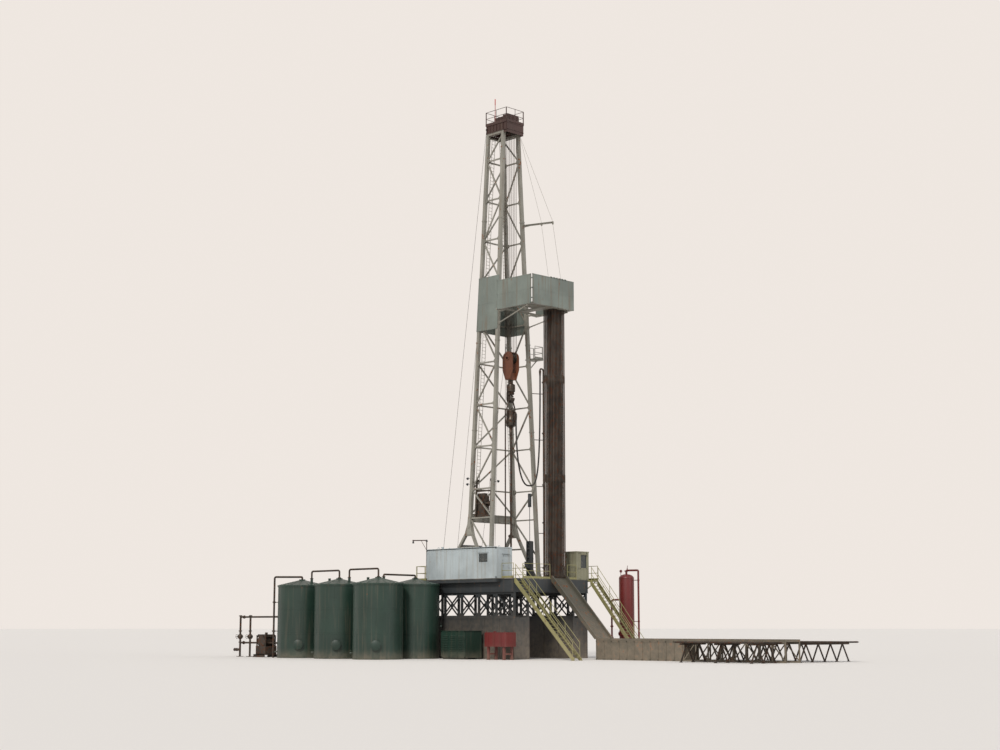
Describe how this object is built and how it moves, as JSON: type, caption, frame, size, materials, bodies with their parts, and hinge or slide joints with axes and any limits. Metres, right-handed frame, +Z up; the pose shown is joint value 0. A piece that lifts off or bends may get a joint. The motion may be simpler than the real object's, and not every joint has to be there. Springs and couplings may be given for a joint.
{
  "type": "oil drilling rig, 1:2 scale model",
  "caption": "Land drilling rig with a lattice mast, drill floor on a braced substructure, hoist and kelly, mud tanks, separator, pipe ramp, catwalk and pipe racks, as a 1:2 scale model.",
  "frame": {"origin": "middle of the footprint at ground level", "axes": "+X to the front, along the pipe ramp and catwalk; +Y to the side away from the doghouse; +Z up"},
  "size_m": [25.615, 10.7299, 24.095],
  "materials": {
    "dark_steel": "near-black grey paint, dusty",
    "deck_plate": "worn chequer plate",
    "mast_paint": "weathered off-white paint with rust",
    "crown_paint": "dark red-brown paint",
    "rail_paint": "faded yellow-green paint",
    "house_panel": "pale blue-grey sheet",
    "wall_sheet": "streaked grey-green sheet",
    "cabin_paint": "olive-grey paint",
    "tank_paint": "dark green paint",
    "vessel_red": "deep red paint",
    "hoist_rust": "rusty orange-brown paint",
    "greased_steel": "greasy worn steel",
    "pipe_steel": "brown mill-scaled steel",
    "wire_rope": "dark greased wire",
    "hose_rubber": "black ribbed rubber",
    "ramp_steel": "scraped olive-grey paint",
    "window_glass": "dark dusty glass",
    "aerial_red": "bright red paint"
  },
  "bodies": {
    "root": {"substructure_box_near": "dark_steel", "substructure_box_far": "dark_steel", "substructure_frame_near": "dark_steel", "substructure_frame_far": "dark_steel", "floor_girders": "dark_steel", "drill_floor": "deck_plate", "rotary_housing": "dark_steel", "floor_rails": "rail_paint", "side_landings": "rail_paint", "drawworks": "greased_steel", "doghouse_walls": "house_panel", "doghouse_roof": "house_panel", "doghouse_window": "window_glass", "driller_cabin": "cabin_paint", "cabin_roof": "cabin_paint", "cabin_window": "window_glass", "lamp_post": "crown_paint", "a_frame_near": "mast_paint", "a_frame_far": "mast_paint", "spreader_beam": "mast_paint", "mast_side_near": "mast_paint", "mast_side_far": "mast_paint", "mast_back": "mast_paint", "ladders": "mast_paint", "mast_windwalls": "wall_sheet", "racking_board": "mast_paint", "board_walls": "wall_sheet", "board_fingers": "mast_paint", "line_boom": "mast_paint", "side_platform": "mast_paint", "crown_frame": "crown_paint", "crown_sheaves": "greased_steel", "crown_platform": "crown_paint", "crown_rails": "crown_paint", "antenna": "aerial_red", "stays": "wire_rope", "standpipe": "pipe_steel", "kelly_hose": "hose_rubber", "tong_lines": "greased_steel", "racked_pipe": "pipe_steel", "drilling_lines": "wire_rope", "stair_sides": "rail_paint", "stair_treads": "rail_paint", "pipe_ramp": "ramp_steel", "catwalk": "ramp_steel", "pipe_racks": "pipe_steel", "rack_pipes": "pipe_steel", "gas_separator": "vessel_red", "tank_shells": "tank_paint", "tank_roofs": "tank_paint", "tank_pipes": "pipe_steel", "power_house": "tank_paint", "pump_and_manifold": "pipe_steel", "mast_winch": "greased_steel"},
    "hoist": {"travelling_block": "hoist_rust", "hook": "greased_steel", "swivel": "greased_steel"},
    "kelly": {"kelly": "greased_steel"},
    "rotary": {"rotary_table": "hoist_rust"},
    "door": {"doghouse_door": "house_panel"}
  },
  "joints": [
    {"name": "block_hoist", "type": "slide", "parent": "root", "child": "hoist", "axis": [0, 0, 1], "range_m": [-1.5, 0.6], "deforming": ["drilling_lines", "kelly_hose"]},
    {"name": "kelly_spin", "type": "hinge", "parent": "hoist", "child": "kelly", "pos_m": [-1.3725, 1.115, 3.2], "axis": [0, 0, 1], "continuous": true},
    {"name": "rotary_spin", "type": "hinge", "parent": "root", "child": "rotary", "pos_m": [-1.3725, 1.115, 3.2], "axis": [0, 0, 1], "continuous": true},
    {"name": "door_hinge", "type": "hinge", "parent": "root", "child": "door", "pos_m": [0.2175, -0.985, 3.2], "axis": [0, 0, -1], "range_deg": [0, 90]}
  ],
  "couplings": [
    {"joint": "kelly_spin", "follows": "rotary_spin", "ratio": 1}
  ]
}
